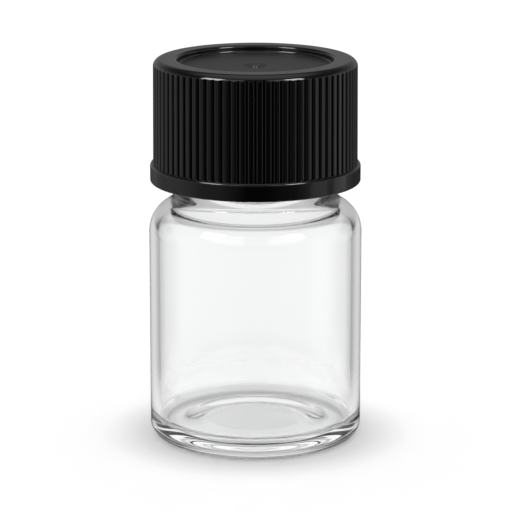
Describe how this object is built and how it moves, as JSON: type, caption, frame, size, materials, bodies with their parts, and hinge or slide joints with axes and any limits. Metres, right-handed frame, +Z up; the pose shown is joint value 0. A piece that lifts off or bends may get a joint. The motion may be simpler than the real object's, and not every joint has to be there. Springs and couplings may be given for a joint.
{
  "type": "glass sample vial",
  "caption": "Clear glass sample vial with a screw neck, closed by a ribbed black screw cap with a sealing liner.",
  "frame": {"origin": "centre of the base, on the plane of the ring that the vial stands on", "axes": "+Z up along the vial's axis, out of its mouth"},
  "size_m": [0.028, 0.028, 0.0506],
  "materials": {
    "clear_glass": "clear fire-polished glass",
    "black_cap": "gloss moulded plastic",
    "liner_foam": "matt foamed plastic"
  },
  "bodies": {
    "vial": {"vial": "clear_glass"},
    "liner": {"cap_liner": "liner_foam"},
    "cap": {"screw_cap": "black_cap"}
  },
  "joints": [
    {"name": "cap_rise", "type": "slide", "parent": "vial", "child": "liner", "axis": [0, 0, 1], "range_m": [0, 0.0192]},
    {"name": "cap_turn", "type": "hinge", "parent": "liner", "child": "cap", "pos_m": [0, 0, 0.04], "axis": [0, 0, 1], "range_deg": [0, 2160]}
  ],
  "couplings": [
    {"joint": "cap_rise", "follows": "cap_turn", "m_per_rad": 0.00050532}
  ]
}
